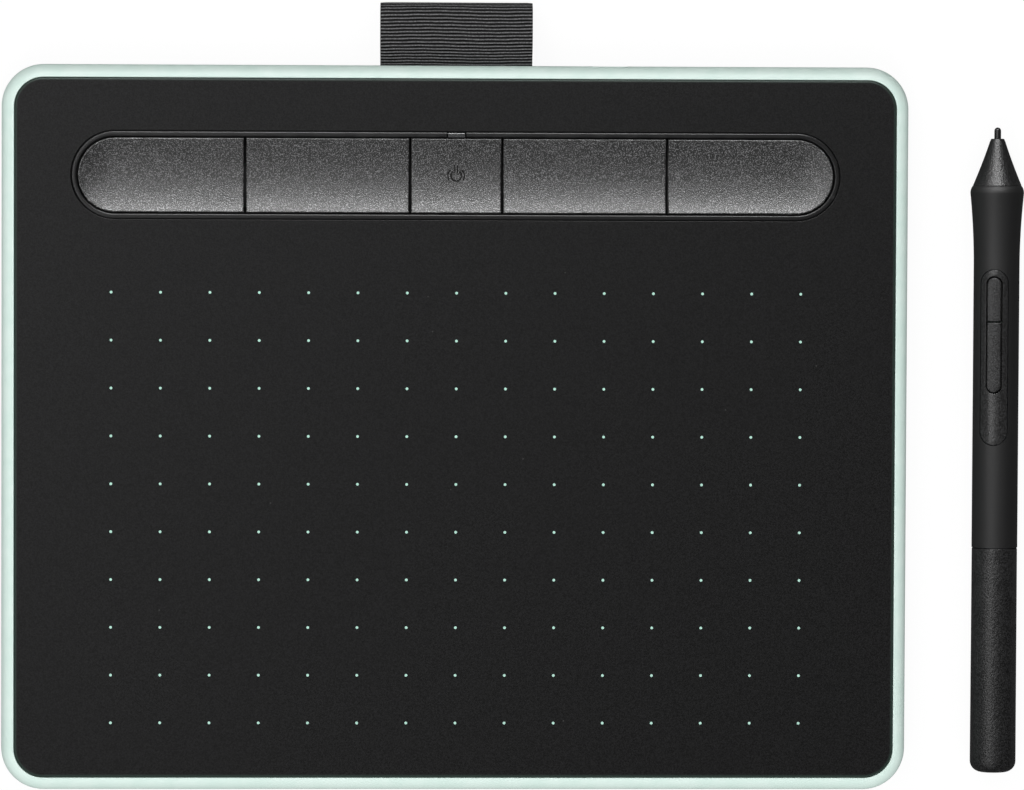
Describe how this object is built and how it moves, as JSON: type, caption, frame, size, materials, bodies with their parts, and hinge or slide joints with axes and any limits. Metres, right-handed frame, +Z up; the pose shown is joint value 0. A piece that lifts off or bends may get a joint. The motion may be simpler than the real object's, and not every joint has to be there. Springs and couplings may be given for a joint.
{
  "type": "pen drawing tablet",
  "caption": "Flat pen drawing tablet with a dished row of keys that rests the pen, a rear ribbon loop, and its pressure pen lying beside it.",
  "frame": {"origin": "on the desk under the middle of the tablet's body, without the loop and the pen", "axes": "+X to the user's right, +Y to the rear edge with the loop, +Z up"},
  "size_m": [0.2257, 0.174, 0.0119],
  "materials": {
    "mint_shell": "fine satin moulding",
    "black_frame": "satin",
    "drawing_film": "fine paper-like texture with printed dots",
    "key_plastic": "coarse spark-eroded grain",
    "bezel_plastic": "satin gloss",
    "light_pipe": "milky",
    "foot_rubber": "matte",
    "label_film": "blank",
    "screw_steel": "zinc plated",
    "circuit_board": "solder mask",
    "dome_steel": "stamped",
    "chip_epoxy": "moulded",
    "led_white": "clear lens",
    "socket_steel": "folded sheet",
    "shield_aluminium": "rolled sheet",
    "flex_film": "polyimide",
    "connector_white": "moulded",
    "battery_pouch": "laminated pouch",
    "tape": "double sided",
    "lead_jacket": "soft",
    "ribbon": "ribbed woven ribbon",
    "clamp_steel": "stamped",
    "pen_soft_black": "soft-touch satin",
    "pen_grain_black": "spark-eroded grain",
    "button_plastic": "fine grain",
    "pen_inner_grey": "moulded",
    "ferrite": "sintered",
    "copper_winding": "enamelled wire",
    "sensor_capsule": "turned",
    "nib_plastic": "hard, smooth",
    "holder_plastic": "moulded"
  },
  "bodies": {
    "tablet": {"bottom_housing": "mint_shell", "top_frame": "black_frame", "drawing_sheet": "drawing_film", "case_screws": "screw_steel", "rating_label": "label_film", "foot_front_left": "foot_rubber", "foot_front_right": "foot_rubber", "foot_rear_left": "foot_rubber", "foot_rear_right": "foot_rubber", "key_bezel": "bezel_plastic", "light_guide": "light_pipe", "main_board": "circuit_board", "board_screws": "screw_steel", "dome_switches": "dome_steel", "board_chips": "chip_epoxy", "status_led": "led_white", "usb_socket": "socket_steel", "usb_tongue": "chip_epoxy", "sensor_board": "circuit_board", "shield_plate": "shield_aluminium", "sensor_flex": "flex_film", "flex_connector": "connector_white", "battery_cell": "battery_pouch", "battery_tape": "tape", "battery_lead": "lead_jacket", "battery_plug": "connector_white", "pen_loop": "ribbon", "loop_clamp": "clamp_steel", "loop_clamp_screws": "screw_steel"},
    "outer_left_key": {"key_outer_left": "key_plastic"},
    "inner_left_key": {"key_inner_left": "key_plastic"},
    "power_button": {"power_key": "key_plastic"},
    "inner_right_key": {"key_inner_right": "key_plastic"},
    "outer_right_key": {"key_outer_right": "key_plastic"},
    "pen": {"pen_barrel": "pen_soft_black", "pen_nose_cone": "pen_grain_black", "pen_switch_plate": "pen_soft_black", "pen_chassis": "pen_inner_grey", "pen_circuit_board": "circuit_board", "pen_dome_switches": "dome_steel", "pen_pressure_sensor": "sensor_capsule", "pen_ferrite_core": "ferrite", "pen_coil": "copper_winding", "spare_nibs": "nib_plastic"},
    "nib": {"pen_nib": "nib_plastic", "nib_holder": "holder_plastic"},
    "front_side_button": {"pen_button_front": "button_plastic"},
    "rear_side_button": {"pen_button_rear": "button_plastic"},
    "tail_cap": {"pen_tail_cap": "pen_grain_black"}
  },
  "joints": [
    {"name": "outer_left_key_press", "type": "slide", "parent": "tablet", "child": "outer_left_key", "axis": [0, 0, -1], "range_m": [0, 0.0004], "stiffness_N_per_m": 800, "springref_m": -0.001},
    {"name": "inner_left_key_press", "type": "slide", "parent": "tablet", "child": "inner_left_key", "axis": [0, 0, -1], "range_m": [0, 0.0004], "stiffness_N_per_m": 800, "springref_m": -0.001},
    {"name": "power_button_press", "type": "slide", "parent": "tablet", "child": "power_button", "axis": [0, 0, -1], "range_m": [0, 0.0004], "stiffness_N_per_m": 800, "springref_m": -0.001},
    {"name": "inner_right_key_press", "type": "slide", "parent": "tablet", "child": "inner_right_key", "axis": [0, 0, -1], "range_m": [0, 0.0004], "stiffness_N_per_m": 800, "springref_m": -0.001},
    {"name": "outer_right_key_press", "type": "slide", "parent": "tablet", "child": "outer_right_key", "axis": [0, 0, -1], "range_m": [0, 0.0004], "stiffness_N_per_m": 800, "springref_m": -0.001},
    {"name": "pen_lift", "type": "slide", "parent": "tablet", "child": "pen", "axis": [0, 0, 1], "range_m": [0, 0.06]},
    {"name": "nib_press", "type": "slide", "parent": "pen", "child": "nib", "axis": [0, -1, -0.0069], "range_m": [0, 0.0005], "stiffness_N_per_m": 900, "springref_m": -0.0003},
    {"name": "front_side_button_press", "type": "slide", "parent": "pen", "child": "front_side_button", "axis": [0.2011, 0.0067, -0.9796], "range_m": [0, 0.00035], "stiffness_N_per_m": 900, "springref_m": -0.001},
    {"name": "rear_side_button_press", "type": "slide", "parent": "pen", "child": "rear_side_button", "axis": [0.2011, 0.0067, -0.9796], "range_m": [0, 0.00035], "stiffness_N_per_m": 900, "springref_m": -0.001},
    {"name": "tail_cap_pull", "type": "slide", "parent": "pen", "child": "tail_cap", "axis": [0, -1, -0.0069], "range_m": [0, 0.035]}
  ]
}
